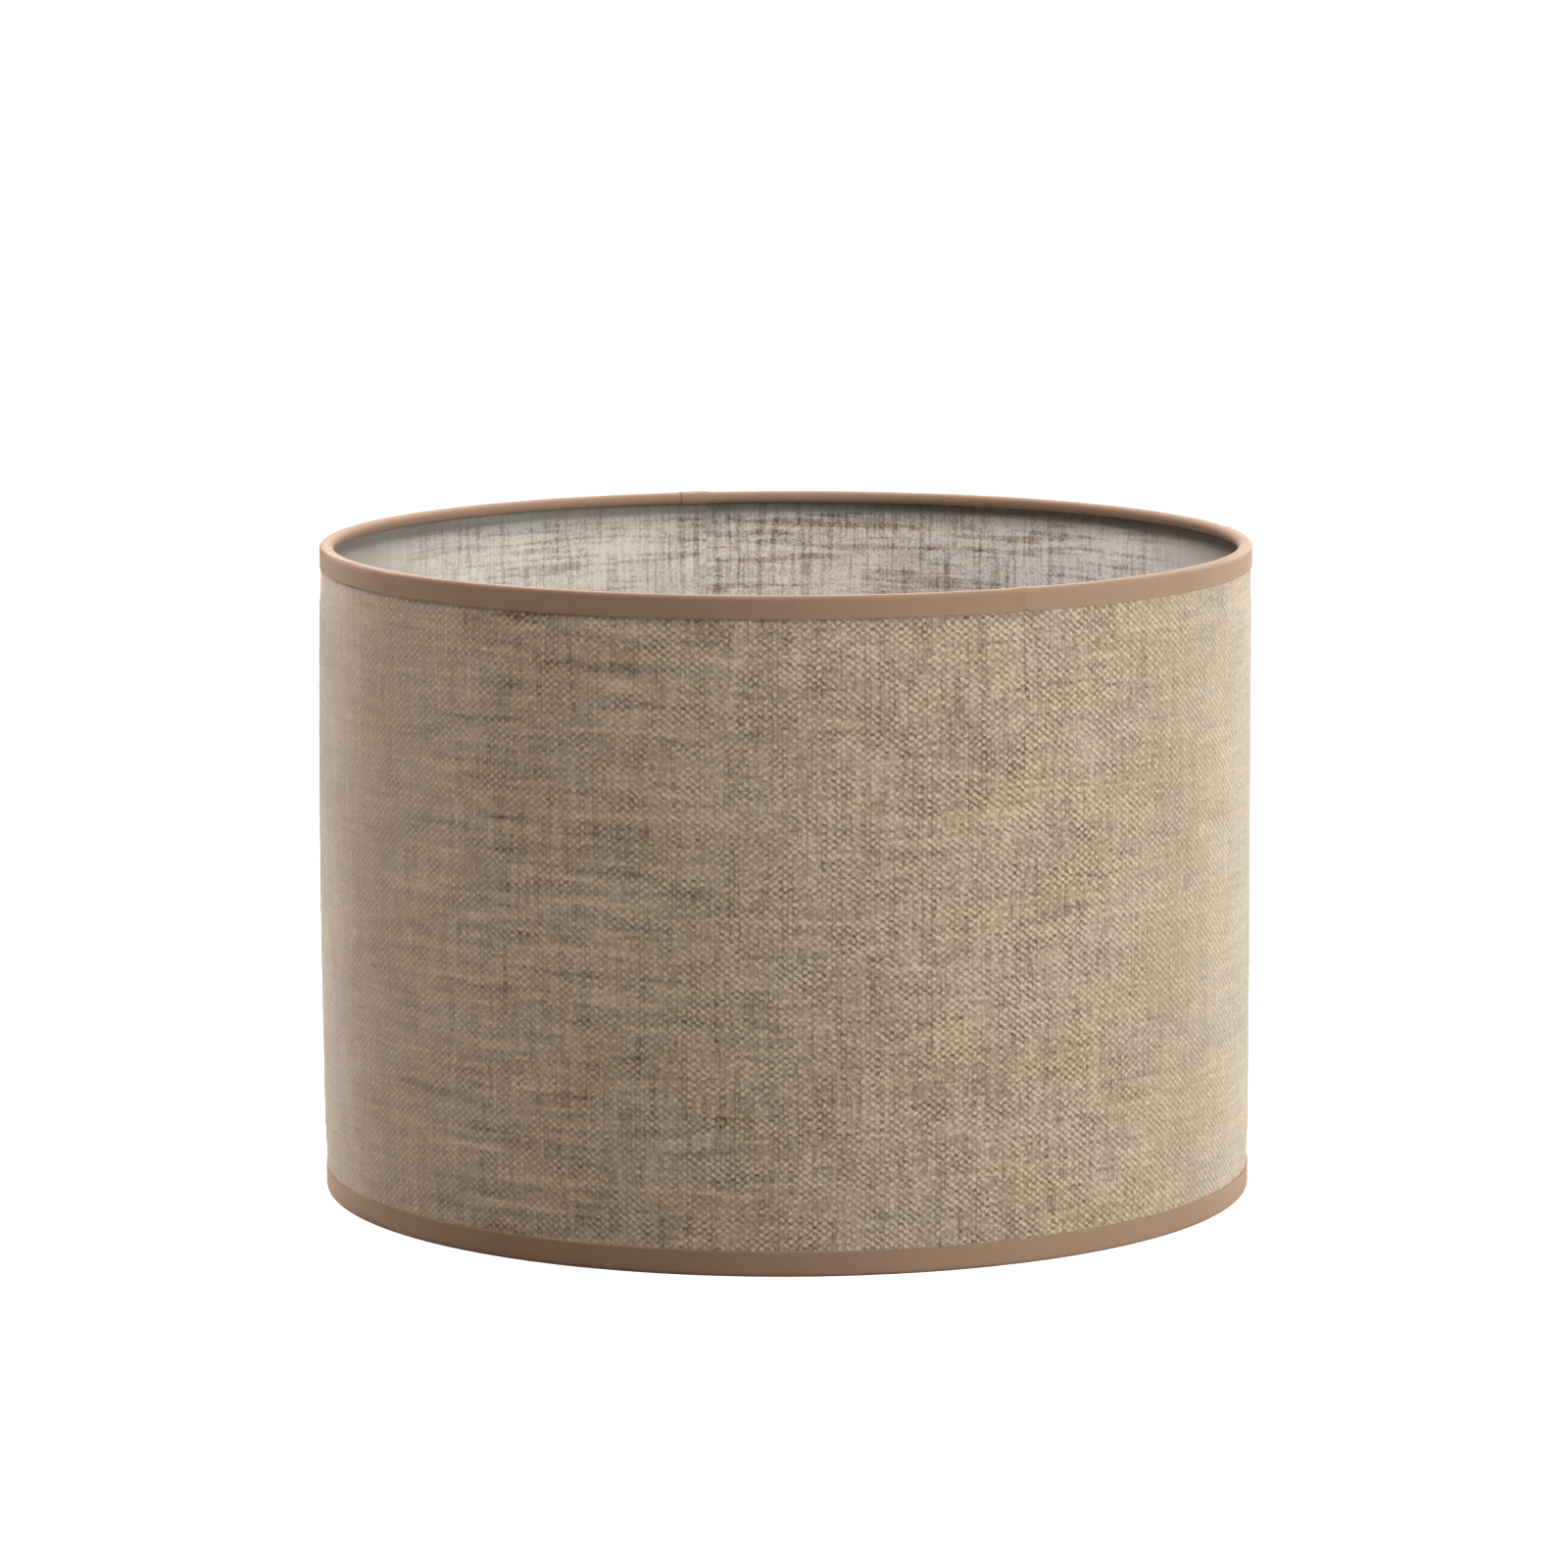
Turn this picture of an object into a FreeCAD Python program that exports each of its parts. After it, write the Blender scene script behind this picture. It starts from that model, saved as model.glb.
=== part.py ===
"""Drum lamp shade: woven cloth on a stiff lining, rolled into a cylinder and bound to two wire rings.

The shade stands on its bottom binding with its axis on Z. Three wire arms rise from the bottom ring
to a washer with a bore for an E27 lampholder. Each piece is written to parts/NODE.step, in millimetres.
"""

import FreeCAD, Part
import os
from math import acos, cos, degrees, radians, sin, tan

# Overall size: the diameter is over the cloth, the height is over both bindings.
shade_diameter = 300.0
shade_height = 210.0

# The wall: cloth laminated to a stiff lining, joined by one lap seam with a tape inside it.
cloth_thickness = 0.5
lining_thickness = 0.4
seam_tape_thickness = 0.1
seam_angle = 102.5
seam_lap = 10.0
seam_ramp = 12.0

# The rings and the tape that binds the wall to them.
ring_wire_diameter = 2.8
binding_thickness = 0.4
top_binding_width = 7.1
bottom_binding_width = 7.9
binding_end_gap = 4.0

# The fitter: a washer for the lampholder, carried by three arms.
fitter_bore = 42.0
fitter_diameter = 68.0
fitter_thickness = 2.0
fitter_rise = 35.0
fitter_edge_round = 0.4
arm_count = 3
first_arm_angle = 30.0
arm_wire_diameter = 2.4
arm_bend_radius = 12.0
arm_level_run = 8.0
arm_weld_overlap = 5.0
arm_weld_depth = 0.3
arm_slot_clearance = 0.15

# Worked out from the sizes above.
wall_radius = shade_diameter / 2
wall_thickness = cloth_thickness + lining_thickness
seam_step = wall_thickness + seam_tape_thickness
lap_angle = degrees(seam_lap / wall_radius)
ramp_angle = degrees(seam_ramp / wall_radius)
lap_start = seam_angle - lap_angle / 2
lap_end = lap_start + lap_angle
wire_radius = ring_wire_diameter / 2
ring_radius = wall_radius - wall_thickness - wire_radius
ring_height = binding_thickness + wire_radius
arm_wire_radius = arm_wire_diameter / 2
arm_angles = [first_arm_angle + 360.0 * i / arm_count for i in range(arm_count)]

up = FreeCAD.Vector(0, 0, 1)
centre = FreeCAD.Vector(0, 0, 0)


def polar(radius, angle, height=0.0):
    """The point at this radius and angle, in degrees, about the shade's axis."""
    return FreeCAD.Vector(radius * cos(radians(angle)), radius * sin(radians(angle)), height)


def arc(radius, start, end):
    """An edge about the shade's axis, from one angle round to a larger one."""
    middle = (start + end) / 2
    return Part.Arc(polar(radius, start), polar(radius, middle), polar(radius, end)).toShape()


def ramp(radius_start, start, radius_end, end):
    """An edge that climbs or falls from one radius to another."""
    middle = polar((radius_start + radius_end) / 2, (start + end) / 2)
    return Part.Arc(polar(radius_start, start), middle, polar(radius_end, end)).toShape()


def sheet_line(radius):
    """Edges along one face of the rolled sheet: once round, up the ramp and over its own first end."""
    lifted = radius + seam_step
    turn_end = lap_start + 360.0
    return [
        arc(radius, lap_start, turn_end - ramp_angle),
        ramp(radius, turn_end - ramp_angle, lifted, turn_end),
        arc(lifted, turn_end, turn_end + lap_angle),
    ]


def rolled_sheet(inner_radius, outer_radius):
    """A sheet of the wall, from the bottom binding's web to the top one's."""
    lap_finish = lap_start + 360.0 + lap_angle
    ends = [
        Part.makeLine(polar(inner_radius, lap_start), polar(outer_radius, lap_start)),
        Part.makeLine(
            polar(inner_radius + seam_step, lap_finish),
            polar(outer_radius + seam_step, lap_finish),
        ),
    ]
    edges = sheet_line(inner_radius) + sheet_line(outer_radius) + ends
    face = Part.Face(Part.Wire(Part.__sortEdges__(edges)))
    face.translate(up * binding_thickness)
    return face.extrude(up * (shade_height - 2 * binding_thickness))


def outside_wire(radius):
    """A closed line round the wall's outside, over the lap and down again at its end."""
    lifted = radius + seam_step
    edges = [
        arc(radius, lap_end + ramp_angle, lap_start + 360.0 - ramp_angle),
        ramp(radius, lap_start - ramp_angle, lifted, lap_start),
        arc(lifted, lap_start, lap_end),
        ramp(lifted, lap_end, radius, lap_end + ramp_angle),
    ]
    return Part.Wire(Part.__sortEdges__(edges))


def binding(width):
    """The tape on the bottom ring: a leg on the cloth, a web under the edge and a roll round the wire."""
    tape_outside = Part.Face(outside_wire(wall_radius + binding_thickness))
    wall_outside = Part.Face(outside_wire(wall_radius))
    leg = tape_outside.cut(wall_outside).extrude(up * width)
    inside_disc = Part.Face(Part.Wire(Part.makeCircle(ring_radius, centre, up)))
    web = tape_outside.cut(inside_disc).extrude(up * binding_thickness)

    roll_outside = wire_radius + binding_thickness
    roll_end = degrees(acos(wire_radius / roll_outside)) + binding_end_gap

    def on_roll(distance, angle):
        """The point at this distance and angle about the ring's wire, in the XZ plane."""
        x = ring_radius + distance * cos(radians(angle))
        return FreeCAD.Vector(x, 0, ring_height + distance * sin(radians(angle)))

    def roll_arc(distance):
        """An edge about the wire, from straight below it, round its inner side, to the tape's end."""
        middle = (270.0 + roll_end) / 2
        points = [on_roll(distance, angle) for angle in (270.0, middle, roll_end)]
        return Part.Arc(*points).toShape()

    edges = [
        roll_arc(wire_radius),
        roll_arc(roll_outside),
        Part.makeLine(on_roll(wire_radius, 270.0), on_roll(roll_outside, 270.0)),
        Part.makeLine(on_roll(wire_radius, roll_end), on_roll(roll_outside, roll_end)),
    ]
    roll = Part.Face(Part.Wire(Part.__sortEdges__(edges))).revolve(centre, up, 360)
    return leg.fuse([web, roll]).removeSplitter()


def wire_ring():
    """The bottom ring: one wire bent to a circle and welded end to end."""
    return Part.makeTorus(ring_radius, wire_radius, FreeCAD.Vector(0, 0, ring_height), up)


def to_top(shape):
    """The same piece at the top of the shade, turned over."""
    return shape.mirror(FreeCAD.Vector(0, 0, shade_height / 2), up)


def fitter_washer():
    """A pressed steel washer with rounded outer edges, for the lampholder and its clamping ring."""
    bottom = FreeCAD.Vector(0, 0, fitter_rise - fitter_thickness)
    disc = Part.makeCylinder(fitter_diameter / 2, fitter_thickness, bottom, up)
    rims = [edge for edge in disc.Edges if len(edge.Vertexes) == 1]
    disc = disc.makeFillet(fitter_edge_round, rims)
    return disc.cut(Part.makeCylinder(fitter_bore / 2, fitter_thickness, bottom, up))


def bent_path(corners, bend_radius):
    """A wire through these corners, with a tangent arc at each inner one."""
    edges = []
    start = corners[0]
    for before, corner, after in zip(corners, corners[1:], corners[2:]):
        way_in = (corner - before).normalize()
        way_out = (after - corner).normalize()
        turn = way_in.getAngle(way_out)
        reach = bend_radius * tan(turn / 2)
        arc_start = corner - way_in * reach
        arc_end = corner + way_out * reach
        to_centre = (way_out - way_in).normalize()
        arc_middle = corner + to_centre * (bend_radius / cos(turn / 2) - bend_radius)
        edges.append(Part.makeLine(start, arc_start))
        edges.append(Part.Arc(arc_start, arc_middle, arc_end).toShape())
        start = arc_end
    edges.append(Part.makeLine(start, corners[-1]))
    return Part.Wire(edges)


def arm_rod(wire_diameter):
    """An arm along +X, from the ring's wire up to the washer's underside, of this wire."""
    weld_height = fitter_rise - fitter_thickness - arm_wire_radius + arm_weld_depth
    weld_end = fitter_diameter / 2 - arm_weld_overlap
    foot = ring_radius - wire_radius - arm_level_run - arm_bend_radius / 2
    head = fitter_diameter / 2 + arm_bend_radius / 2
    corners = [
        FreeCAD.Vector(ring_radius, 0, ring_height),
        FreeCAD.Vector(foot, 0, ring_height),
        FreeCAD.Vector(head, 0, weld_height),
        FreeCAD.Vector(weld_end, 0, weld_height),
    ]
    path = bent_path(corners, arm_bend_radius)
    section = Part.makeCircle(wire_diameter / 2, corners[0], FreeCAD.Vector(-1, 0, 0))
    return path.makePipeShell([Part.Wire(section)], True, False)


def turned(shape, angle):
    """A copy of a piece turned about the shade's axis."""
    copy = shape.copy()
    copy.rotate(centre, up, angle)
    return copy


def write(name, shape):
    """One piece to its own file, after a check that it is one sound solid."""
    solids = shape.Solids
    if len(solids) != 1 or not shape.isValid():
        raise ValueError(f"{name} is not one valid solid")
    solids[0].exportStep(f"parts/{name}.step")
    box = solids[0].BoundBox
    print(f"{name:18s} {solids[0].Volume:10.1f} mm3  z {box.ZMin:7.2f} to {box.ZMax:7.2f}")


os.makedirs("parts", exist_ok=True)

cloth_inside = wall_radius - cloth_thickness
write("woven_cover", rolled_sheet(cloth_inside, wall_radius))
write("lining_panel", rolled_sheet(wall_radius - wall_thickness, cloth_inside))

seam_edges = [
    arc(wall_radius, lap_start, lap_end),
    arc(wall_radius + seam_tape_thickness, lap_start, lap_end),
    Part.makeLine(polar(wall_radius, lap_start), polar(wall_radius + seam_tape_thickness, lap_start)),
    Part.makeLine(polar(wall_radius, lap_end), polar(wall_radius + seam_tape_thickness, lap_end)),
]
seam_face = Part.Face(Part.Wire(Part.__sortEdges__(seam_edges)))
seam_face.translate(up * binding_thickness)
write("seam_tape", seam_face.extrude(up * (shade_height - 2 * binding_thickness)))

ring = wire_ring()
write("bottom_wire_ring", ring)
write("top_wire_ring", to_top(ring))

arm_slots = [turned(arm_rod(arm_wire_diameter + 2 * arm_slot_clearance), angle) for angle in arm_angles]
write("bottom_binding", binding(bottom_binding_width).cut(arm_slots).removeSplitter())
write("top_binding", to_top(binding(top_binding_width)))

washer = fitter_washer()
write("fitter_ring", washer)
arm = arm_rod(arm_wire_diameter).cut([ring, washer])
for number, angle in enumerate(arm_angles, 1):
    write(f"fitter_arm_{number}", turned(arm, angle))
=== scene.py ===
from math import acos, cos, degrees, hypot, pi, radians, sin, tau

import bpy
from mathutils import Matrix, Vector, noise


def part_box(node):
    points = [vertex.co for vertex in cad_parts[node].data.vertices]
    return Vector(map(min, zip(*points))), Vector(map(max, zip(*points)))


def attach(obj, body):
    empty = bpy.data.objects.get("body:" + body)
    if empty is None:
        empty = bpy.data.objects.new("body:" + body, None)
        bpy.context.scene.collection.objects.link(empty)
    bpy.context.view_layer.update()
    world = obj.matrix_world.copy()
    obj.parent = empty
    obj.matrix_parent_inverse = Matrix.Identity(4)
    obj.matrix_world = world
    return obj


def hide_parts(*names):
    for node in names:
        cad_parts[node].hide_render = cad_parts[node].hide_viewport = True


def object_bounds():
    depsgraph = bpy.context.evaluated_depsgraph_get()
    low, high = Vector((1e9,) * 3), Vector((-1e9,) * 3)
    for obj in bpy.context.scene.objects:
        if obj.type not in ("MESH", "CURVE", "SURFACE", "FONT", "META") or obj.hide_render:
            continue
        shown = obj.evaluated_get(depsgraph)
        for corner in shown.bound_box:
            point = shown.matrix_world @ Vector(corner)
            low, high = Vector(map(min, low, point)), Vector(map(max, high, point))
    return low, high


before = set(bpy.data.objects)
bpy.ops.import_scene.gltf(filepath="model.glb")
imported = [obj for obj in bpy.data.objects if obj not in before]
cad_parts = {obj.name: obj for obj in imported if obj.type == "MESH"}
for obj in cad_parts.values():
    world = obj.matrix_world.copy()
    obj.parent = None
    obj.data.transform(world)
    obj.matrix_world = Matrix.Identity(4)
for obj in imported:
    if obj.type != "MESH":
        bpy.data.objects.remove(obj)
cad_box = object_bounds()

# ---- Camera: a long lens 2.2 m from the shade's axis, on the side opposite the lap seam. It looks along +Y
# and a little down, so that the far wall's lining shows over the front rim. ----
camera_data = bpy.data.cameras.new("camera")
camera_data.sensor_width = 36.0
camera_data.lens = 159.3
camera = bpy.data.objects.new("camera", camera_data)
camera_aim = Vector((-0.00073, 0.0, 0.1303))
camera_roll = radians(-0.12)
camera.location = (0.0, -2.2290, 0.4637)
looking = (camera_aim - camera.location).to_track_quat("-Z", "Y")
camera.rotation_euler = looking.to_euler()
camera.rotation_euler.rotate_axis("Z", camera_roll)
bpy.context.scene.collection.objects.link(camera)
bpy.context.scene.camera = camera
bpy.context.scene.view_settings.view_transform = "Standard"

# ---- Studio: a white floor and surround, a soft key at the right, soft light from behind and above, and
# three gridded strips behind the sides, whose narrow beams pass along the shade's two edges. ----
shade_middle = Vector((0.0, 0.0, 0.105))


def soft_light(name, azimuth, height, distance, size, power, tint=(1.0, 1.0, 1.0), aside=0.0, spread=180.0):
    """A soft box that faces the shade, or points aside of its axis. Azimuth is from the camera's side
    round to the right, and a spread under 180 degrees is a grid that narrows the beam."""
    lamp = bpy.data.lights.new(name, "AREA")
    lamp.shape = "RECTANGLE"
    lamp.size, lamp.size_y = size
    lamp.energy = power
    lamp.color = tint
    lamp.spread = radians(spread)
    light = bpy.data.objects.new(name, lamp)
    angle = radians(azimuth)
    light.location = (distance * sin(angle), -distance * cos(angle), height)
    aim = shade_middle - light.location
    light.rotation_euler = aim.to_track_quat("-Z", "Y").to_euler()
    light.location += Vector((cos(angle), sin(angle), 0.0)) * aside
    bpy.context.scene.collection.objects.link(light)


soft_light("key_front", 48.0, 0.60, 1.6, (0.8, 1.0), 2.3, (0.90, 1.0, 0.85))
soft_light("key_right", 72.0, 0.50, 1.6, (0.8, 1.0), 20.2, (1.0, 0.961, 0.921))
soft_light("back", 180.0, 0.60, 1.5, (1.2, 1.2), 13.0, (0.957, 0.979, 1.0))
soft_light("side_left", -110.0, 0.45, 1.5, (1.0, 1.2), 3.6, (1.0, 0.90, 0.83))
soft_light("top_front", -20.0, 1.60, 0.7, (0.8, 0.8), 14.8, (1.0, 0.84, 0.75))
soft_light("top_back", 180.0, 1.40, 0.9, (1.0, 0.8), 25.5)
soft_light("edge_right", 145.0, 0.45, 1.5, (0.07, 0.36), 0.0966, (1.0, 0.994, 0.931), -0.115, 6.0)
soft_light("edge_left", -125.0, 0.45, 1.5, (0.07, 0.36), 0.052, (1.0, 0.90, 0.84), 0.105, 6.0)
soft_light("edge_far_left", -150.0, 0.45, 1.5, (0.03, 0.36), 0.055, (0.97, 1.0, 0.95), 0.14, 4.0)

world = bpy.data.worlds.new("surround")
bpy.context.scene.world = world
world.use_nodes = True
surround = world.node_tree
surround.nodes.clear()
world_out = surround.nodes.new("ShaderNodeOutputWorld")
world_light = surround.nodes.new("ShaderNodeBackground")
world_light.inputs["Color"].default_value = (1.0, 0.9, 0.85, 1.0)
fill_strength = 0.004
seen_strength = 1.2
strength_sum = surround.nodes.new("ShaderNodeMath")
strength_sum.operation = "MULTIPLY_ADD"
world_path = surround.nodes.new("ShaderNodeLightPath")
surround.links.new(world_path.outputs["Is Camera Ray"], strength_sum.inputs[0])
strength_sum.inputs[1].default_value = seen_strength
strength_sum.inputs[2].default_value = fill_strength
surround.links.new(strength_sum.outputs[0], world_light.inputs["Strength"])
surround.links.new(world_light.outputs[0], world_out.inputs["Surface"])

floor_mesh = bpy.data.meshes.new("floor")
floor_half = 6.0
floor_signs = [(-1, -1), (1, -1), (1, 1), (-1, 1)]
floor_corners = [(x * floor_half, y * floor_half, 0.0) for x, y in floor_signs]
floor_mesh.from_pydata(floor_corners, [], [(0, 1, 2, 3)])
floor = bpy.data.objects.new("floor", floor_mesh)
bpy.context.scene.collection.objects.link(floor)
floor_paint = bpy.data.materials.new("white_floor")
floor_paint.use_nodes = True
floor_nodes = floor_paint.node_tree
floor_nodes.nodes.clear()
floor_out = floor_nodes.nodes.new("ShaderNodeOutputMaterial")
floor_sum = floor_nodes.nodes.new("ShaderNodeAddShader")
floor_matt = floor_nodes.nodes.new("ShaderNodeBsdfDiffuse")
floor_matt.inputs["Color"].default_value = (0.45, 0.45, 0.45, 1.0)
# The glow reaches the camera alone, so the floor looks white and throws only matt grey light.
floor_glow = floor_nodes.nodes.new("ShaderNodeEmission")
floor_path = floor_nodes.nodes.new("ShaderNodeLightPath")
floor_nodes.links.new(floor_path.outputs["Is Camera Ray"], floor_glow.inputs["Strength"])
floor_nodes.links.new(floor_matt.outputs[0], floor_sum.inputs[0])
floor_nodes.links.new(floor_glow.outputs[0], floor_sum.inputs[1])
floor_nodes.links.new(floor_sum.outputs[0], floor_out.inputs["Surface"])
floor_mesh.materials.append(floor_paint)

# ---- Woven cover: a slubbed plain-weave cloth, 0.5 mm thick, glued round the lining. It is rolled once
# round and lapped over its own first end at the back, and its last end turns under, so that no raw
# threads show at the seam. ----
seam_angle = radians(102.5)
seam_lap = 0.010
seam_ramp = 0.012
seam_step = 0.0010
cloth_thickness = 0.0005
lining_thickness = 0.0004
glue_gap = 0.00004
warp_pitch = 0.00148
pick_pitch = 0.00116
cover_low, cover_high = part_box("woven_cover")
wall_bottom = cover_low.z
wall_top = cover_high.z
shade_height = cad_box[1].z
tape_thickness = wall_bottom
wall_radius = round(-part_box("bottom_binding")[0].y - tape_thickness, 4)
wall_length = tau * wall_radius + seam_lap
soft_corner = 0.0009


def place(tree, kind, feeds=None, **settings):
    """Add a node and set its options. Fields, sockets or values feed its inputs, by name or number."""
    node = tree.nodes.new(kind)
    for option, value in settings.items():
        setattr(node, option, value)
    for name, value in (feeds or {}).items():
        value = value.socket if isinstance(value, Field) else value
        if isinstance(value, bpy.types.NodeSocket):
            tree.links.new(value, node.inputs[name])
        else:
            node.inputs[name].default_value = value
    return node


class Field:
    """A number that a node tree works out at each point, so that its formulas read as arithmetic."""

    def __init__(self, tree, socket):
        self.tree = tree
        self.socket = socket

    def work(self, operation, *others, clamp=False):
        feeds = dict(enumerate((self, *others)))
        node = place(self.tree, "ShaderNodeMath", feeds, operation=operation, use_clamp=clamp)
        return Field(self.tree, node.outputs[0])

    def __add__(self, other):
        return self.work("ADD", other)

    def __sub__(self, other):
        return self.work("SUBTRACT", other)

    def __mul__(self, other):
        return self.work("MULTIPLY", other)

    def __truediv__(self, other):
        return self.work("DIVIDE", other)

    def __pow__(self, other):
        return self.work("POWER", other)

    def held(self):
        """This number kept between 0 and 1."""
        return self.work("ADD", 0.0, clamp=True)

    def step(self, low, high):
        """A smooth rise from 0 to 1 as this number goes from low to high."""
        feeds = {"Value": self, "From Min": low, "From Max": high}
        node = place(self.tree, "ShaderNodeMapRange", feeds, interpolation_type="SMOOTHSTEP")
        return Field(self.tree, node.outputs[0])

    def blend(self, low, high):
        """low where this number is 0, high where it is 1."""
        feeds = {"Value": self, "To Min": low, "To Max": high}
        return Field(self.tree, place(self.tree, "ShaderNodeMapRange", feeds).outputs[0])


def triple(tree, x, y, z=0.0):
    """Three numbers as one vector."""
    return Field(tree, place(tree, "ShaderNodeCombineXYZ", {0: x, 1: y, 2: z}).outputs[0])


def cloud(tree, vector, scale=1.0, detail=1.0):
    """Smooth noise, about 0.2 to 0.8 round a middle of 0.5."""
    feeds = {"Vector": vector, "Scale": scale, "Detail": detail}
    return Field(tree, place(tree, "ShaderNodeTexNoise", feeds).outputs[0])


def new_group(name, kind, inputs, outputs):
    """A node group whose inputs and outputs are named here by their kind, and its inputs' sockets."""
    tree = bpy.data.node_groups.new(name, kind)
    for way, sockets in (("INPUT", inputs), ("OUTPUT", outputs)):
        for socket_kind, socket_names in sockets.items():
            for socket_name in socket_names:
                socket_type = "NodeSocket" + socket_kind
                tree.interface.new_socket(socket_name, in_out=way, socket_type=socket_type)
    return tree, tree.nodes.new("NodeGroupInput").outputs


def finished(tree, shape, material):
    """The end of a making tree: smooth shading, real geometry and its material."""
    smooth = place(tree, "GeometryNodeSetShadeSmooth", {"Geometry": shape})
    real = place(tree, "GeometryNodeRealizeInstances", {"Geometry": smooth.outputs[0]})
    feeds = {"Geometry": real.outputs[0], "Material": material}
    coated = place(tree, "GeometryNodeSetMaterial", feeds)
    place(tree, "NodeGroupOutput", {0: coated.outputs[0]})


def rolled_wall_tree():
    """A sheet rolled once round the shade and lapped over its own first end, as a node tree."""
    inputs = {
        "Float": [
            "Inner Radius", "Outer Radius", "Bottom", "Top", "Seam Angle", "Lap", "Ramp", "Step",
            "Turned End", "Bow", "Slack", "Slub Relief", "Ends", "Picks", "Seed",
        ],
        "Int": ["Columns", "Rows"],
        "Material": ["Finish"],
    }
    tree, given = new_group("rolled_wall", "GeometryNodeTree", inputs, {"Geometry": ["Sheet"]})

    def value(name):
        return Field(tree, given[name])

    def capture(curve, output):
        """Keep a curve's own parameter, as a share of its length or as a point's number."""
        parameter = tree.nodes.new("GeometryNodeSplineParameter").outputs[output]
        node = tree.nodes.new("GeometryNodeCaptureAttribute")
        node.capture_items.new("FLOAT", "kept")
        tree.links.new(curve, node.inputs[0])
        tree.links.new(parameter, node.inputs[1])
        return node.outputs[0], Field(tree, node.outputs[1])

    # A hoop of points swept along a line gives a closed tube of the right number of columns and rows.
    # Each of its points is moved to its place on the sheet further down, so the tube's size is free.
    rows = value("Rows")
    line = place(tree, "GeometryNodeCurvePrimitiveLine", {"End": (1.0, 0.0, 0.0)}).outputs[0]
    feeds = {"Curve": line, "Count": value("Columns")}
    line = place(tree, "GeometryNodeResampleCurve", feeds).outputs[0]
    line, along = capture(line, "Factor")
    hoop = place(tree, "GeometryNodeCurvePrimitiveCircle", {"Resolution": rows + 2.0, "Radius": 0.1})
    hoop, place_up = capture(hoop.outputs[0], "Index")
    feeds = {"Curve": line, "Profile Curve": hoop, "Fill Caps": True}
    swept = place(tree, "GeometryNodeCurveToMesh", feeds)

    # The hoop's first points climb the sheet's outer face, and the others come down its inner face.
    is_inner = place_up.work("GREATER_THAN", rows - 0.5)
    share_outer = place_up / (rows - 1.0)
    share_inner = rows - place_up + 1.0
    share = is_inner.blend(share_outer, share_inner)
    height = share.blend(value("Bottom"), value("Top"))

    # The sheet goes once round from its first end at the seam, and climbs a ramp to its lap.
    radius = value("Outer Radius")
    turn = value("Lap") / radius + tau
    lap_start = value("Seam Angle") - value("Lap") / radius * 0.5
    swung = along * turn
    angle = lap_start + swung
    ramp_angle = value("Ramp") / radius
    lift = ((swung - tau + ramp_angle) / ramp_angle).step(0.0, 1.0) * value("Step")

    # Both faces round over towards the last end, where the sheet is turned under. The tiny length
    # keeps the share finite on a sheet with no turned end.
    tiny = 0.000001
    to_end = (turn - swung) * radius
    turned = (to_end / (value("Turned End") + tiny) * -1.0 + 1.0).held()
    layer = is_inner.blend(radius, value("Inner Radius"))
    wrap_under = value("Inner Radius") - radius
    out = layer + lift + turned ** 3.0 * wrap_under * is_inner.blend(0.5, 0.8)

    # The wall bows out at mid height, most of all at its left side and not quite evenly. Between the
    # bindings it stands out by its slack.
    middle = (share * pi).work("SINE")
    side = (angle - pi).work("COSINE").work("MAXIMUM", 0.0) ** 3.0
    out = out + middle * side * value("Bow")
    drift = cloud(tree, triple(tree, angle.work("COSINE") * 1.6, angle.work("SINE") * 1.6, share * 1.5))
    out = out + (drift - 0.5) * middle * value("Bow") * 0.6
    from_edge = (share * -1.0 + 1.0).work("MINIMUM", share)
    out = out + from_edge.step(0.030, 0.110) * value("Slack")

    # Slubs raise the outer face. The stronger ones lie along the picks, the weaker along the ends.
    ends = along * value("Ends")
    picks = share * value("Picks")
    weft = cloud(tree, triple(tree, ends * 0.045, picks * 0.9, value("Seed")), 1.0, 1.5) - 0.5
    warp = cloud(tree, triple(tree, ends * 0.8, picks * 0.02, value("Seed") + 9.0), 1.0, 1.0) - 0.5
    slub = weft * 1.5 + warp * 0.8
    outer = is_inner * -1.0 + 1.0
    out = out + slub * value("Slub Relief") * outer

    spot = triple(tree, angle.work("COSINE") * out, angle.work("SINE") * out, height)
    moved = place(tree, "GeometryNodeSetPosition", {"Geometry": swept.outputs[0], "Position": spot})
    threads = triple(tree, ends, picks)
    with_uv = place(
        tree, "GeometryNodeStoreNamedAttribute",
        {"Geometry": moved.outputs[0], "Name": "threads", "Value": threads},
        data_type="FLOAT2", domain="CORNER",
    )
    with_slub = place(
        tree, "GeometryNodeStoreNamedAttribute",
        {"Geometry": with_uv.outputs[0], "Name": "slub", "Value": slub},
        data_type="FLOAT", domain="POINT",
    )
    finished(tree, with_slub.outputs[0], given["Finish"])
    return tree


rolled_wall = rolled_wall_tree()


def made_by_nodes(name, tree, sizes):
    """A plain mesh piece from a node tree and its named sizes."""
    blank = bpy.data.objects.new(name + "_making", bpy.data.meshes.new(name + "_making"))
    bpy.context.scene.collection.objects.link(blank)
    modifier = blank.modifiers.new("making", "NODES")
    modifier.node_group = tree
    for item in tree.interface.items_tree:
        if item.item_type == "SOCKET" and item.in_out == "INPUT" and item.name in sizes:
            modifier[item.identifier] = sizes[item.name]
    shown = blank.evaluated_get(bpy.context.evaluated_depsgraph_get())
    mesh = bpy.data.meshes.new_from_object(shown)
    mesh.name = name
    bpy.data.objects.remove(blank)
    piece = bpy.data.objects.new(name, mesh)
    bpy.context.scene.collection.objects.link(piece)
    return piece


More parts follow.
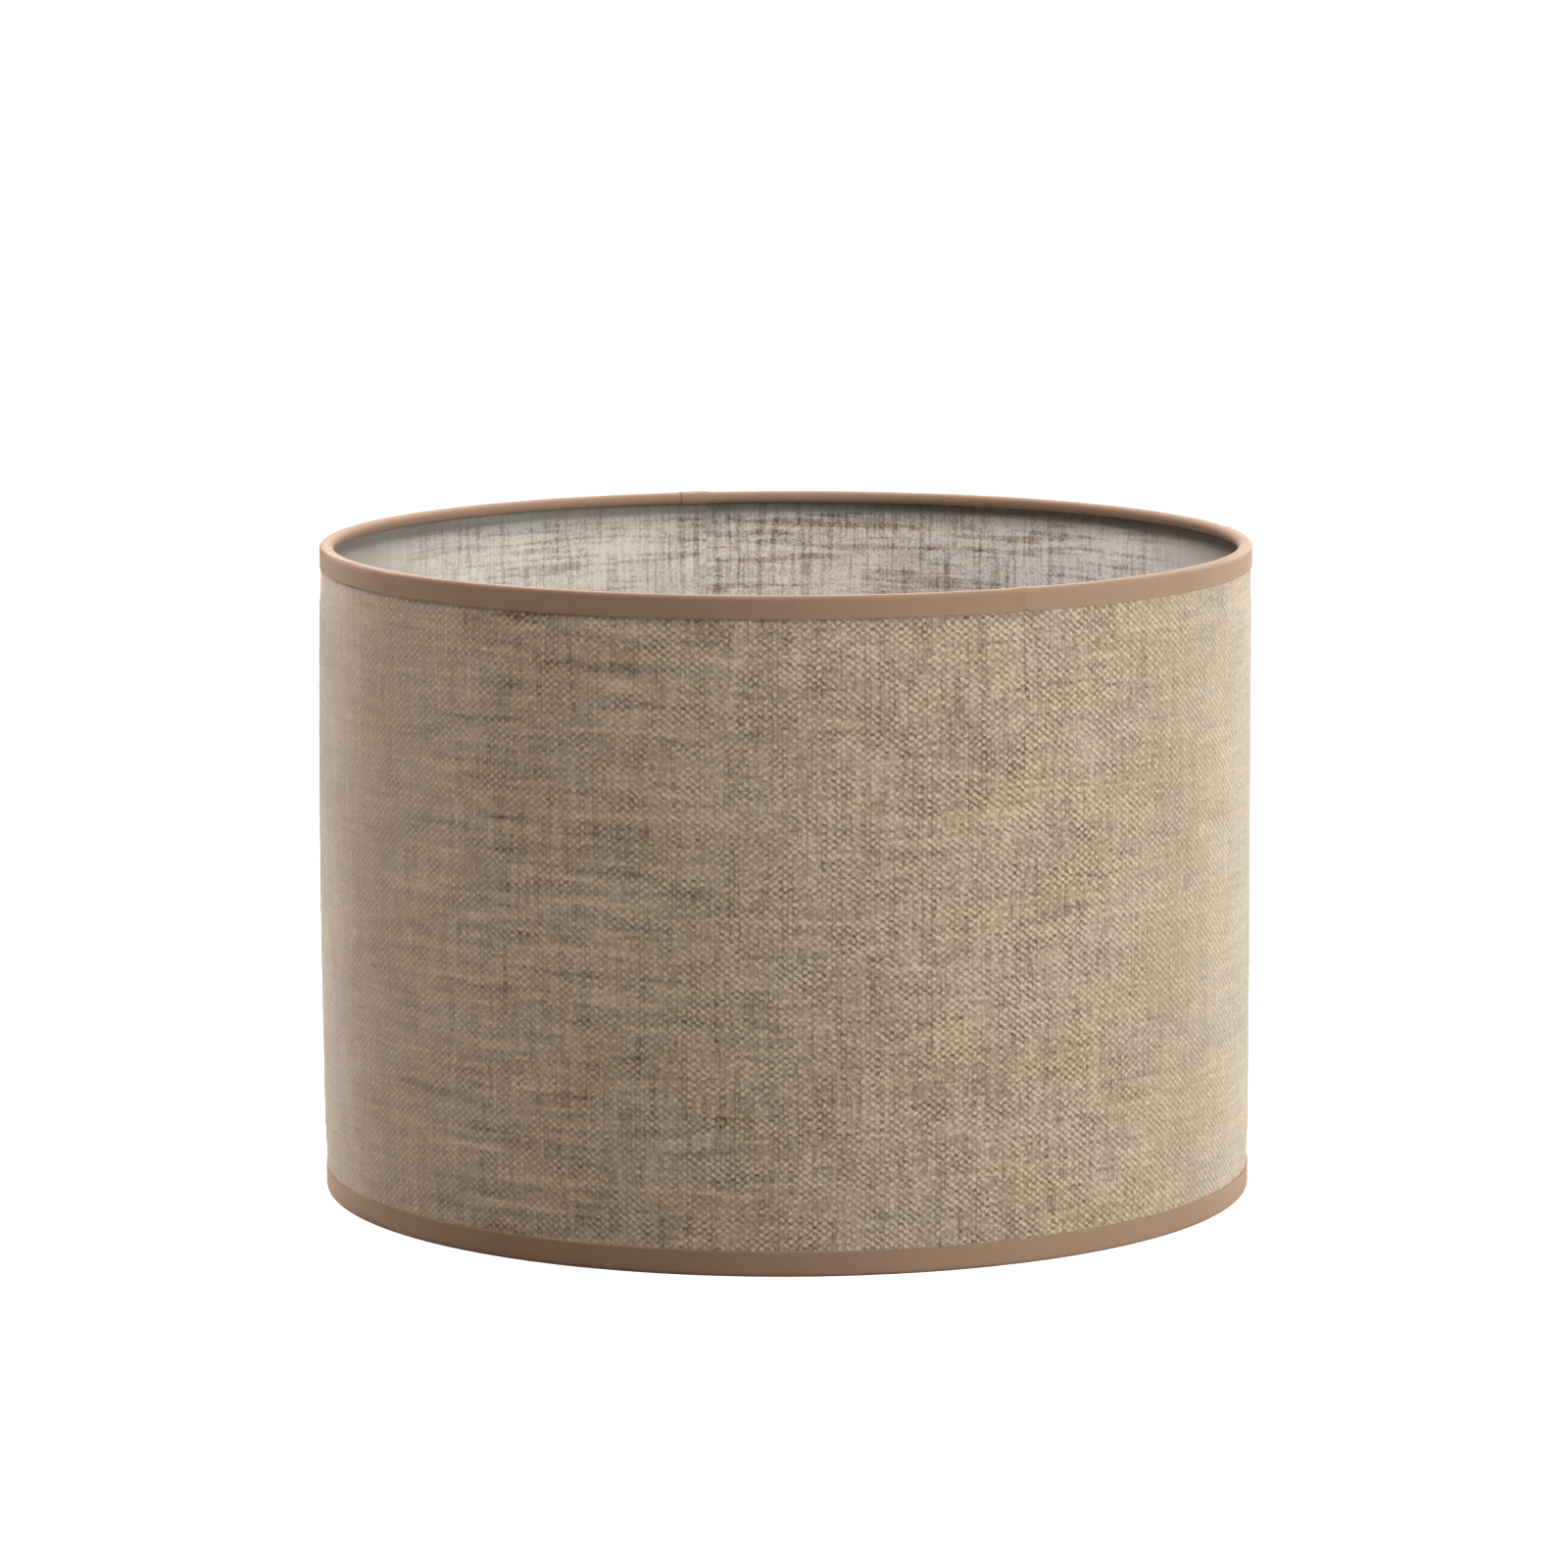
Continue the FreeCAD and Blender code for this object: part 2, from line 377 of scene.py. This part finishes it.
def weave_group():
    """Plain weave from thread numbers: which thread lies on top, and each thread's own tone."""
    inputs = {"Vector": ["Threads"], "Float": ["Wander", "Unevenness", "Lean", "Slub Length"]}
    outputs = {"Float": ["Height", "Warp Tone", "Weft Tone", "Gap"]}
    tree, given = new_group("plain_weave", "ShaderNodeTree", inputs, outputs)
    thread = place(tree, "ShaderNodeSeparateXYZ", {0: given["Threads"]}).outputs
    flat_x = Field(tree, thread[0])
    flat_y = Field(tree, thread[1])
    wander = Field(tree, given["Wander"])
    uneven = Field(tree, given["Unevenness"])

    # Each thread wanders from its straight line in long bends, and shakes from crossing to crossing.
    long_bends = {"Vector": triple(tree, flat_x * 0.25, flat_y * 0.12), "Detail": 2.0}
    sway = place(tree, "ShaderNodeTexNoise", long_bends)
    short_bends = {"Vector": triple(tree, flat_x * 0.8, flat_y * 0.6, 7.0), "Detail": 1.0}
    shake = place(tree, "ShaderNodeTexNoise", short_bends)
    sway = place(tree, "ShaderNodeSeparateXYZ", {0: sway.outputs[1]}).outputs
    shake = place(tree, "ShaderNodeSeparateXYZ", {0: shake.outputs[1]}).outputs
    x = flat_x + (Field(tree, sway[0]) - 0.5) * wander * 3.0
    x = x + (Field(tree, shake[0]) - 0.5) * uneven * 1.3
    y = flat_y + (Field(tree, sway[1]) - 0.5) * wander * 3.0
    y = y + (Field(tree, shake[1]) - 0.5) * uneven * 1.6

    # At one crossing the warp lies on top, at the next the weft. A lean draws the raised crossings into
    # diagonal lines that rise or fall.
    lean = Field(tree, given["Lean"])
    falling = ((x + y) * pi).work("COSINE") * (lean + 0.5)
    rising = ((x - y) * pi).work("COSINE") * (lean * -1.0 + 0.5)
    over = rising - falling
    warp_number = x.work("FLOOR")
    weft_number = y.work("FLOOR")
    number = triple(tree, warp_number, weft_number, 3.0)
    crossing = place(tree, "ShaderNodeTexWhiteNoise", {"Vector": number})
    chance = Field(tree, crossing.outputs[0])
    tidy = cloud(tree, triple(tree, flat_x * 0.13, flat_y * 0.13, 12.0), 1.0, 2.0).step(0.30, 0.70)
    strength = (chance - 0.5) * uneven * 1.6 + tidy.blend(0.40, 1.20)
    fibre = cloud(tree, triple(tree, flat_x * 1.05, flat_y * 0.85, 4.0), 1.0, 1.5) - 0.5
    height = over * strength * 0.36 + fibre * uneven * 1.6 + (chance - 0.5) * uneven * 0.25 + 0.5

    # Gaps open between some warp ends, and every end and pick has its own slowly changing tone.
    gap_number = (x + 0.5).work("FLOOR") * 7.31
    gap_here = cloud(tree, triple(tree, gap_number, flat_y * 0.035, 6.0), 1.0, 2.0).step(0.30, 0.72)
    gap = (x * pi).work("COSINE").work("ABSOLUTE") ** 3.0 * gap_here
    slub_length = Field(tree, given["Slub Length"])
    warp_tone = cloud(tree, triple(tree, warp_number * 7.31, flat_y / slub_length * 0.5, 2.0), 1.0, 1.0)
    weft_tone = cloud(tree, triple(tree, flat_x / slub_length, weft_number * 5.77, 3.0), 1.0, 1.0)
    place(tree, "NodeGroupOutput", {0: height, 1: warp_tone, 2: weft_tone, 3: gap})
    return tree


plain_weave = weave_group()


def new_material(name):
    """A material with its tree and main shader."""
    material = bpy.data.materials.new(name)
    material.use_nodes = True
    tree = material.node_tree
    shader = next(node for node in tree.nodes if node.type == "BSDF_PRINCIPLED")
    return material, tree, shader


def mixed(tree, share, first, second, blend_type="MIX"):
    """One colour over another, or their product."""
    feeds = {"Factor": share, 6: first, 7: second}
    node = place(tree, "ShaderNodeMix", feeds, data_type="RGBA", blend_type=blend_type)
    return node.outputs[2]


def threads_of(tree):
    """The thread numbers kept in a piece's own map."""
    return place(tree, "ShaderNodeUVMap", uv_map="threads").outputs[0]


def spot_of(tree):
    """Where a point of the piece lies: x, y and height, as sockets."""
    where = place(tree, "ShaderNodeTexCoord").outputs["Object"]
    return place(tree, "ShaderNodeSeparateXYZ", {0: where}).outputs


def placed_weave(tree, threads, wander, unevenness, slub_length, lean=0.0):
    """The plain weave at these thread numbers, as its outputs."""
    feeds = {
        "Threads": threads, "Wander": wander, "Unevenness": unevenness,
        "Slub Length": slub_length, "Lean": lean,
    }
    return place(tree, "ShaderNodeGroup", feeds, node_tree=plain_weave).outputs


def linen_cloth():
    """Undyed linen blend: sand and flax threads with painted shade in their gaps, and slubs along the weft.
    """
    material, tree, shader = new_material("linen_cloth")
    threads = threads_of(tree)
    across = Field(tree, spot_of(tree)[0]) / wall_radius
    part = place(tree, "ShaderNodeSeparateXYZ", {0: threads}).outputs
    ends = Field(tree, part[0])
    picks = Field(tree, part[1])
    patch = cloud(tree, triple(tree, ends * 0.035, picks * 0.03, 4.0), 1.0, 3.0)
    lean = across.step(-1.1, 1.1) * 0.30 - 0.08 + (patch - 0.5) * 0.8
    weave = placed_weave(tree, threads, 0.42, 0.6, 9.0, lean)
    height = Field(tree, weave["Height"])
    warp_tone = Field(tree, weave["Warp Tone"]) - 0.5
    weft_tone = Field(tree, weave["Weft Tone"]) - 0.5
    gap = Field(tree, weave["Gap"])
    slub = Field(tree, place(tree, "ShaderNodeAttribute", attribute_name="slub").outputs["Fac"])

    # Thick and thin places lie along the picks, most of them on the left third.
    slubby = across.step(-1.0, -0.55) * (across.step(-0.35, 0.15) * -0.75 + 1.0)
    streak = cloud(tree, triple(tree, ends * 0.040, picks * 0.30, 8.0), 1.0, 2.0)
    thin_place = (streak * -1.0 + 1.0).step(0.50, 0.76) * slubby
    thick_place = streak.step(0.50, 0.76) * slubby

    # The weave's relief is painted into the colour as shade: low crossings and the gaps between ends
    # darker, raised crossings lighter. The threads stand out more towards the right, and fade at both
    # sides.
    relief_shading = across.step(-0.9, 0.3).blend(0.62, 1.06)
    gap_shading = across.step(-0.9, 0.3).blend(0.22, 0.29)
    rim_soft = across.work("ABSOLUTE").step(0.55, 1.0) * -0.55 + 1.0
    light = (height - 0.5) * relief_shading + warp_tone * 0.50 + weft_tone * 0.50 - gap * gap_shading + slub * 0.22
    light = light * rim_soft + (patch - 0.5) * 0.26 - thin_place * 0.22 + thick_place * 0.26 + 0.65
    dark_flax = (0.182, 0.125, 0.071, 1.0)
    pale_sand = (0.835, 0.745, 0.588, 1.0)
    colour = mixed(tree, light.held(), dark_flax, pale_sand)
    cast = cloud(tree, triple(tree, ends * 0.05, picks * 0.045, 14.0), 1.0, 2.0).step(0.35, 0.65)
    warm_cast = (1.01, 0.995, 0.98, 1.0)
    cool_cast = (0.99, 0.995, 1.02, 1.0)
    cast_colour = mixed(tree, cast, warm_cast, cool_cast)
    colour = mixed(tree, 1.0, colour, cast_colour, "MULTIPLY")
    tree.links.new(colour, shader.inputs["Base Color"])
    relief = height - gap * 0.4
    bump = place(tree, "ShaderNodeBump", {"Strength": 0.6, "Distance": 0.00025, "Height": relief})
    tree.links.new(bump.outputs[0], shader.inputs["Normal"])
    shader.inputs["Roughness"].default_value = 0.85
    shader.inputs["Diffuse Roughness"].default_value = 0.8
    shader.inputs["Specular IOR Level"].default_value = 0.2
    shader.inputs["Sheen Weight"].default_value = 0.2
    shader.inputs["Sheen Roughness"].default_value = 0.35
    return material


wall_sizes = {
    "Bottom": wall_bottom + soft_corner,
    "Top": wall_top - soft_corner,
    "Seam Angle": seam_angle,
    "Lap": seam_lap,
    "Ramp": seam_ramp,
    "Step": seam_step,
    "Ends": wall_length / warp_pitch,
    "Picks": (wall_top - wall_bottom) / pick_pitch,
    "Seed": 3.0,
    "Bow": 0.0010,
    "Slack": 0.00045,
}
cover_sizes = {
    **wall_sizes,
    "Inner Radius": wall_radius - cloth_thickness + glue_gap,
    "Outer Radius": wall_radius,
    "Turned End": 0.0008,
    "Columns": 590,
    "Rows": 160,
    "Slub Relief": 0.00022,
    "Finish": linen_cloth(),
}
cover = made_by_nodes("cloth_cover", rolled_wall, cover_sizes)
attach(cover, "root")
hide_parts("woven_cover")

# ---- Lining: a stiff white film, 0.4 mm thick, that the cloth is glued to and rolled up with. Its colour
# carries the cloth's threads as painted shadows, as light from outside would show them through it, and a
# painted shade band along both of its edges, where the bindings on the outside would block that light. ----
def backed_film():
    """Translucent white film, with the threads behind it painted into its colour as soft shadows."""
    material, tree, shader = new_material("backed_film")
    output = next(node for node in tree.nodes if node.type == "OUTPUT_MATERIAL")
    spot = spot_of(tree)
    across = Field(tree, spot[0]) / wall_radius
    up = Field(tree, spot[2])
    part = place(tree, "ShaderNodeSeparateXYZ", {0: threads_of(tree)}).outputs
    ends = Field(tree, part[0])
    picks = Field(tree, part[1])

    # The shadows' lines wander and break up as the threads do.
    sway = cloud(tree, triple(tree, ends * 0.15, picks * 0.06), 1.0, 2.0) - 0.5
    lift = cloud(tree, triple(tree, ends * 0.05, picks * 0.2, 5.0), 1.0, 2.0) - 0.5
    shake = cloud(tree, triple(tree, ends * 0.9, picks * 0.8, 21.0), 1.0, 1.0) - 0.5
    warp = ends + sway * 1.2 + shake * 0.9
    weft = picks + lift * 2.0 + shake * 1.2
    warp_line = (warp * pi).work("COSINE").work("ABSOLUTE")
    weft_line = (weft * pi).work("COSINE").work("ABSOLUTE")
    warp_number = (warp + 0.5).work("FLOOR") * 7.31
    weft_number = (weft + 0.5).work("FLOOR") * 5.77
    warp_dark = cloud(tree, triple(tree, warp_number, picks * 0.04, 2.0), 1.0, 2.0).step(0.30, 0.66)
    weft_dark = cloud(tree, triple(tree, ends * 0.05, weft_number, 3.0), 1.0, 2.0).step(0.44, 0.68)
    mottle = cloud(tree, triple(tree, ends * 0.42, picks * 0.36, 9.0), 1.0, 2.5) - 0.5
    grain = cloud(tree, triple(tree, ends * 1.3, picks * 1.1, 6.0), 1.0, 2.0) - 0.5
    patch = cloud(tree, triple(tree, ends * 0.07, picks * 0.12, 4.0), 1.0, 2.0) - 0.5
    thick_pick = cloud(tree, triple(tree, ends * 0.035, weft * 0.50, 17.0), 1.0, 1.0).step(0.50, 0.62)
    thick_end = cloud(tree, triple(tree, warp * 0.60, picks * 0.03, 19.0), 1.0, 1.0).step(0.50, 0.62)
    shadow = warp_line * warp_dark * 0.26 + weft_line * weft_dark * 0.12
    shadow = shadow + thick_pick * 0.36 + thick_end * 0.30
    shadow = shadow - mottle * 0.9 - grain * 1.3 - patch * 0.8
    # Painted light: the film is painted lighter towards the right.
    shadow = shadow - across.step(0.25, 0.55) * 0.18 + 0.07

    # The painted shadows are fainter on the left, and blur to an even painted grey at both sides. The left
    # is also painted in a warmer tint of light.
    plain = (across * across).step(0.45, 0.92)
    left = across.step(-0.32, -0.12) * -1.0 + 1.0
    shadow = shadow * left.blend(1.0, 0.75) + left.blend(0.06, -0.06)
    shadow = shadow * (plain * -1.0 + 1.0) + plain * 0.40
    white_film = (0.78, 0.77, 0.755, 1.0)
    warm_lit_film = (0.78, 0.768, 0.73, 1.0)
    thread_shadow = (0.165, 0.126, 0.09, 1.0)
    film = mixed(tree, left, white_film, warm_lit_film)
    colour = mixed(tree, shadow.held(), film, thread_shadow)

    # Painted shade: a darker band where the bindings on the outside would block the light through the film.
    # The bands end softly, over 1.2 mm, where the bindings on the outside end.
    under_top = up.step(shade_height - 0.0079, shade_height - 0.0067)
    under_bottom = up.step(0.0074, 0.0086) * -1.0 + 1.0
    binding_shadow = (0.40, 0.40, 0.36, 1.0)
    colour = mixed(tree, (under_top + under_bottom) * 0.7, colour, binding_shadow)
    tree.links.new(colour, shader.inputs["Base Color"])
    shader.inputs["Roughness"].default_value = 0.42
    glow = place(tree, "ShaderNodeBsdfTranslucent", {"Color": colour})
    through = place(tree, "ShaderNodeMixShader", {0: 0.2, 1: shader.outputs[0], 2: glow.outputs[0]})
    tree.links.new(through.outputs[0], output.inputs["Surface"])
    return material


lining_sizes = {
    **wall_sizes,
    "Inner Radius": wall_radius - cloth_thickness - lining_thickness,
    "Outer Radius": wall_radius - cloth_thickness - glue_gap,
    "Turned End": 0.0,
    "Columns": 300,
    "Rows": 24,
    "Slub Relief": 0.0,
    "Finish": backed_film(),
}
lining = made_by_nodes("lining", rolled_wall, lining_sizes)
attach(lining, "root")
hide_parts("lining_panel")

# ---- Bindings: a pinkish-brown cotton tape, 0.4 mm thick, glued over each edge of the wall and rolled
# round the rim's wire. Its last end laps its first at the seam, and the top one has a small crease with
# a nick in its edge, at the front. ----
top_ring_low, top_ring_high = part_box("top_wire_ring")
wire_radius = round(top_ring_high.z - top_ring_low.z, 5) / 2
ring_radius = wall_radius - cloth_thickness - lining_thickness - wire_radius
ring_height = tape_thickness + wire_radius
tape_joint = 0.009
tape_pitch = 0.00042
joint_rise = 0.00016
joint_run_out = 0.002
tape_glue = 0.00002
edge_sway = 0.00022
edge_fray = 0.0001
loose_lift = 0.00006
crease_angle = radians(-61.0)
nick_reach = 0.0016
nick_depth = 0.0009
crease_reach = 0.0034
crease_height = 0.00034


def cotton_tape():
    """Fine plain-woven cotton tape, pinkish brown."""
    material, tree, shader = new_material("cotton_tape")
    weave = placed_weave(tree, threads_of(tree), 0.2, 0.2, 20.0)
    height = Field(tree, weave["Height"])
    tone = Field(tree, weave["Warp Tone"])
    # The tape's raised crossings are painted a little lighter: painted shade of its weave.
    lightness = ((tone - 0.5) * 0.35 + 0.5 + (height - 0.5) * 0.25).held()
    dark_thread = (0.315, 0.204, 0.139, 1.0)
    light_thread = (0.441, 0.305, 0.218, 1.0)
    colour = mixed(tree, lightness, dark_thread, light_thread)
    tree.links.new(colour, shader.inputs["Base Color"])
    bump = place(tree, "ShaderNodeBump", {"Strength": 0.25, "Distance": 0.00008, "Height": height})
    tree.links.new(bump.outputs[0], shader.inputs["Normal"])
    shader.inputs["Roughness"].default_value = 0.75
    shader.inputs["Specular IOR Level"].default_value = 0.25
    return material


tape_finish = cotton_tape()


def seam_bump(angle):
    """How far the wall stands out at this angle: up the ramp, along the lap and down again."""
    away = (angle - seam_angle + pi) % tau - pi
    past_lap = (abs(away) * wall_radius - seam_lap / 2) / seam_ramp
    rise = 1.0 - min(max(past_lap, 0.0), 1.0)
    return seam_step * rise * rise * (3.0 - 2.0 * rise)


def tape_line(width, lift, bump):
    """One face of the tape from its free edge to its rolled end, as pairs of radius and height."""
    corner = wall_radius + bump - soft_corner
    low = tape_thickness + soft_corner
    leg_shares = (1.0, 0.97, 0.8, 0.6, 0.4, 0.2)
    points = [(wall_radius + bump + lift, low + (width - low) * share) for share in leg_shares]
    for turn in (0.0, -15.0, -30.0, -45.0, -60.0, -75.0, -90.0):
        x = corner + (soft_corner + lift) * cos(radians(turn))
        points.append((x, low + (soft_corner + lift) * sin(radians(turn))))
    for share in (0.3, 0.7, 1.0):
        points.append((corner + (ring_radius - corner) * share, tape_thickness - lift))
    rolled = wire_radius + lift
    roll_end = degrees(acos(wire_radius / (wire_radius + tape_thickness))) + 4.0
    roll_steps = 16
    for step in range(1, roll_steps + 1):
        turn = radians(270.0 + (roll_end - 270.0) * step / roll_steps)
        points.append((ring_radius + rolled * cos(turn), ring_height + rolled * sin(turn)))
    return points


def bound_rim(name, width, upside_down, seed):
    """The tape swept round the rim as a closed strip, its last end lapped over its first."""
    columns = 1200
    sweep = tau + tape_joint / wall_radius
    start = seam_angle - tape_joint / wall_radius / 2
    verts, faces, uvs = [], [], []
    for column in range(columns + 1):
        share = column / columns
        angle = start + sweep * share
        around = angle * wall_radius
        to_last_end = (1.0 - share) * sweep * wall_radius
        lapped = max(0.0, 1.0 - to_last_end / (tape_joint + joint_run_out))
        stack = joint_rise * min(1.0, lapped * 6.0)
        bump = seam_bump(angle)
        wave = noise.noise(Vector((cos(angle) * 4.0, sin(angle) * 4.0, seed)))
        fray = noise.noise(Vector((around * 160.0, seed, 0.0)))
        edge = width + edge_sway * wave + edge_fray * fray
        ease = loose_lift * (1.0 + noise.noise(Vector((around * 70.0, seed, 3.0))))
        if upside_down:
            from_crease = abs((angle - crease_angle + pi) % tau - pi) * wall_radius
            edge -= nick_depth * max(0.0, 1.0 - from_crease / nick_reach)
            ease += crease_height * max(0.0, 1.0 - from_crease / crease_reach)
        outer = tape_line(edge, tape_thickness + stack + ease, bump)
        inner = tape_line(edge, stack + tape_glue, bump)
        for radius, height in outer + inner[::-1]:
            z = shade_height - height if upside_down else max(height, 0.0)
            verts.append((radius * cos(angle), radius * sin(angle), z))
    ring_count = len(outer) * 2
    lengths = [0.0]
    for (r0, z0), (r1, z1) in zip(outer, outer[1:]):
        lengths.append(lengths[-1] + hypot(r1 - r0, z1 - z0))
    thread_up = [length / tape_pitch for length in lengths + lengths[::-1]]
    shares = [column / columns for column in range(columns + 1)]
    thread_along = [share * sweep * wall_radius / tape_pitch for share in shares]
    for column in range(columns):
        for row in range(ring_count):
            after = (row + 1) % ring_count
            corners = [(column, row), (column, after), (column + 1, after), (column + 1, row)]
            if not upside_down:
                corners.reverse()
            faces.append([c * ring_count + r for c, r in corners])
            uvs += [(thread_along[c], thread_up[r]) for c, r in corners]
    for column in (0, columns):
        cap = [column * ring_count + row for row in range(ring_count)]
        if (column == 0) == upside_down:
            cap.reverse()
        faces.append(cap)
        uvs += [(0.0, 0.0)] * ring_count
    mesh = bpy.data.meshes.new(name)
    mesh.from_pydata(verts, [], faces)
    layer = mesh.uv_layers.new(name="threads")
    layer.data.foreach_set("uv", [number for uv in uvs for number in uv])
    mesh.shade_smooth()
    mesh.materials.append(tape_finish)
    piece = bpy.data.objects.new(name, mesh)
    bpy.context.scene.collection.objects.link(piece)
    return piece


for rim, width, upside_down, seed in (("top", 0.0071, True, 11.0), ("bottom", 0.0079, False, 23.0)):
    rim_tape = bound_rim(rim + "_rim_tape", width, upside_down, seed)
    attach(rim_tape, "root")
    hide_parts(rim + "_binding")
    middle = tape_line(width, tape_thickness / 2, 0.0)
    cut_width = sum(hypot(r1 - r0, z1 - z0) for (r0, z0), (r1, z1) in zip(middle, middle[1:]))

# ---- Steelwork: two round wire hoops inside the bindings, and a pressed washer for the lampholder on
# three bent wire arms that are welded to the bottom hoop. It is mild steel under one white powder coat,
# and each piece keeps the mesh that it comes with. ----
def powder_coat():
    """White powder coat with a faint orange peel."""
    material, tree, shader = new_material("powder_coat")
    where = place(tree, "ShaderNodeTexCoord").outputs["Object"]
    peel = cloud(tree, where, 900.0, 2.0)
    dust = cloud(tree, where, 60.0, 3.0)
    dusty_white = (0.74, 0.73, 0.71, 1.0)
    clean_white = (0.84, 0.84, 0.83, 1.0)
    colour = mixed(tree, dust, dusty_white, clean_white)
    tree.links.new(colour, shader.inputs["Base Color"])
    rough = dust.blend(0.32, 0.5)
    tree.links.new(rough.socket, shader.inputs["Roughness"])
    bump = place(tree, "ShaderNodeBump", {"Strength": 0.3, "Distance": 0.00005, "Height": peel})
    tree.links.new(bump.outputs[0], shader.inputs["Normal"])
    return material


coat = powder_coat()
arm_count = 3
steel_nodes = ["top_wire_ring", "bottom_wire_ring", "fitter_ring"]
steel_nodes += [f"fitter_arm_{number}" for number in range(1, arm_count + 1)]
for node in steel_nodes:
    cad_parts[node].data.materials.clear()
    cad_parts[node].data.materials.append(coat)

# ---- Weld beads: each arm has a collar of weld where it meets the bottom ring, and a short rippled bead
# on both of its sides under the washer. They are steel under the same powder coat. ----
arm_radius = 0.0012
first_arm = radians(30.0)
ring_low, ring_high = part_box("bottom_wire_ring")
washer_low, washer_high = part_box("fitter_ring")


def weld_bead_tree():
    """One arm's welds, turned round the shade's axis once for each arm."""
    inputs = {
        "Int": ["Arms"],
        "Float": [
            "First Angle", "Arm Radius", "Ring Inside", "Ring Height", "Washer Radius",
            "Washer Underside", "Bead Length", "Bead Radius", "Ripple",
        ],
        "Material": ["Finish"],
    }
    tree, given = new_group("weld_beads", "GeometryNodeTree", inputs, {"Geometry": ["Beads"]})

    def value(name):
        return Field(tree, given[name])

    # A bead swells and narrows from one of its points to the next, as a row of molten drops does.
    number = Field(tree, tree.nodes.new("GeometryNodeInputIndex").outputs[0])
    swell = (number * 2.1).work("SINE") * value("Ripple") + 1.0
    feeds = {"Resolution": 8, "Radius": value("Bead Radius")}
    profile = place(tree, "GeometryNodeCurvePrimitiveCircle", feeds)

    def bead(curve):
        """A rippled bead of weld along a curve."""
        sized = place(tree, "GeometryNodeSetCurveRadius", {"Curve": curve, "Radius": swell})
        feeds = {"Curve": sized.outputs[0], "Profile Curve": profile.outputs[0], "Fill Caps": True}
        return place(tree, "GeometryNodeCurveToMesh", feeds).outputs[0]

    feeds = {"Resolution": 24, "Radius": value("Arm Radius")}
    collar = place(tree, "GeometryNodeCurvePrimitiveCircle", feeds)
    foot = triple(tree, value("Ring Inside"), 0.0, value("Ring Height"))
    feeds = {"Geometry": collar.outputs[0], "Translation": foot, "Rotation": (0.0, pi / 2, 0.0)}
    beads = [bead(place(tree, "GeometryNodeTransform", feeds).outputs[0])]
    for side in (-1.0, 1.0):
        height = value("Washer Underside") - value("Bead Radius") * 0.6
        aside = value("Arm Radius") * side
        start = triple(tree, value("Washer Radius") - value("Bead Length"), aside, height)
        end = triple(tree, value("Washer Radius") - value("Bead Radius"), aside, height)
        line = place(tree, "GeometryNodeCurvePrimitiveLine", {"Start": start, "End": end}).outputs[0]
        line = place(tree, "GeometryNodeResampleCurve", {"Curve": line, "Count": 18}).outputs[0]
        beads.append(bead(line))
    joined = tree.nodes.new("GeometryNodeJoinGeometry")
    for geometry in beads:
        tree.links.new(geometry, joined.inputs[0])

    centres = place(tree, "GeometryNodeMeshLine", {"Count": value("Arms"), "Offset": (0.0, 0.0, 0.0)})
    turn = triple(tree, 0.0, 0.0, number / value("Arms") * tau + value("First Angle"))
    feeds = {"Points": centres.outputs[0], "Instance": joined.outputs[0], "Rotation": turn}
    around = place(tree, "GeometryNodeInstanceOnPoints", feeds)
    finished(tree, around.outputs[0], given["Finish"])
    return tree


bead_sizes = {
    "Arms": arm_count,
    "First Angle": first_arm,
    "Arm Radius": arm_radius,
    "Ring Inside": ring_radius - wire_radius,
    "Ring Height": (ring_low.z + ring_high.z) / 2,
    "Washer Radius": washer_high.x,
    "Washer Underside": washer_low.z,
    "Bead Length": 0.0045,
    "Bead Radius": 0.00045,
    "Ripple": 0.22,
    "Finish": coat,
}
beads = made_by_nodes("weld_beads", weld_bead_tree(), bead_sizes)
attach(beads, "root")

# ---- Seam tape: a clear double-sided strip, 0.1 mm thick and as wide as the lap. It is pressed between
# the wall's first end and the lap over it, from one binding to the other, and holds the drum shut. ----
def clear_adhesive():
    """Slightly yellow glue film with tiny bubbles."""
    material, tree, shader = new_material("clear_adhesive")
    where = place(tree, "ShaderNodeTexCoord").outputs["Object"]
    bubbles = cloud(tree, where, 1500.0, 2.0)
    yellowed = (0.66, 0.63, 0.54, 1.0)
    clear = (0.82, 0.80, 0.74, 1.0)
    colour = mixed(tree, bubbles, yellowed, clear)
    tree.links.new(colour, shader.inputs["Base Color"])
    shader.inputs["Roughness"].default_value = 0.25
    return material


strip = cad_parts["seam_tape"]
strip.data.materials.clear()
strip.data.materials.append(clear_adhesive())
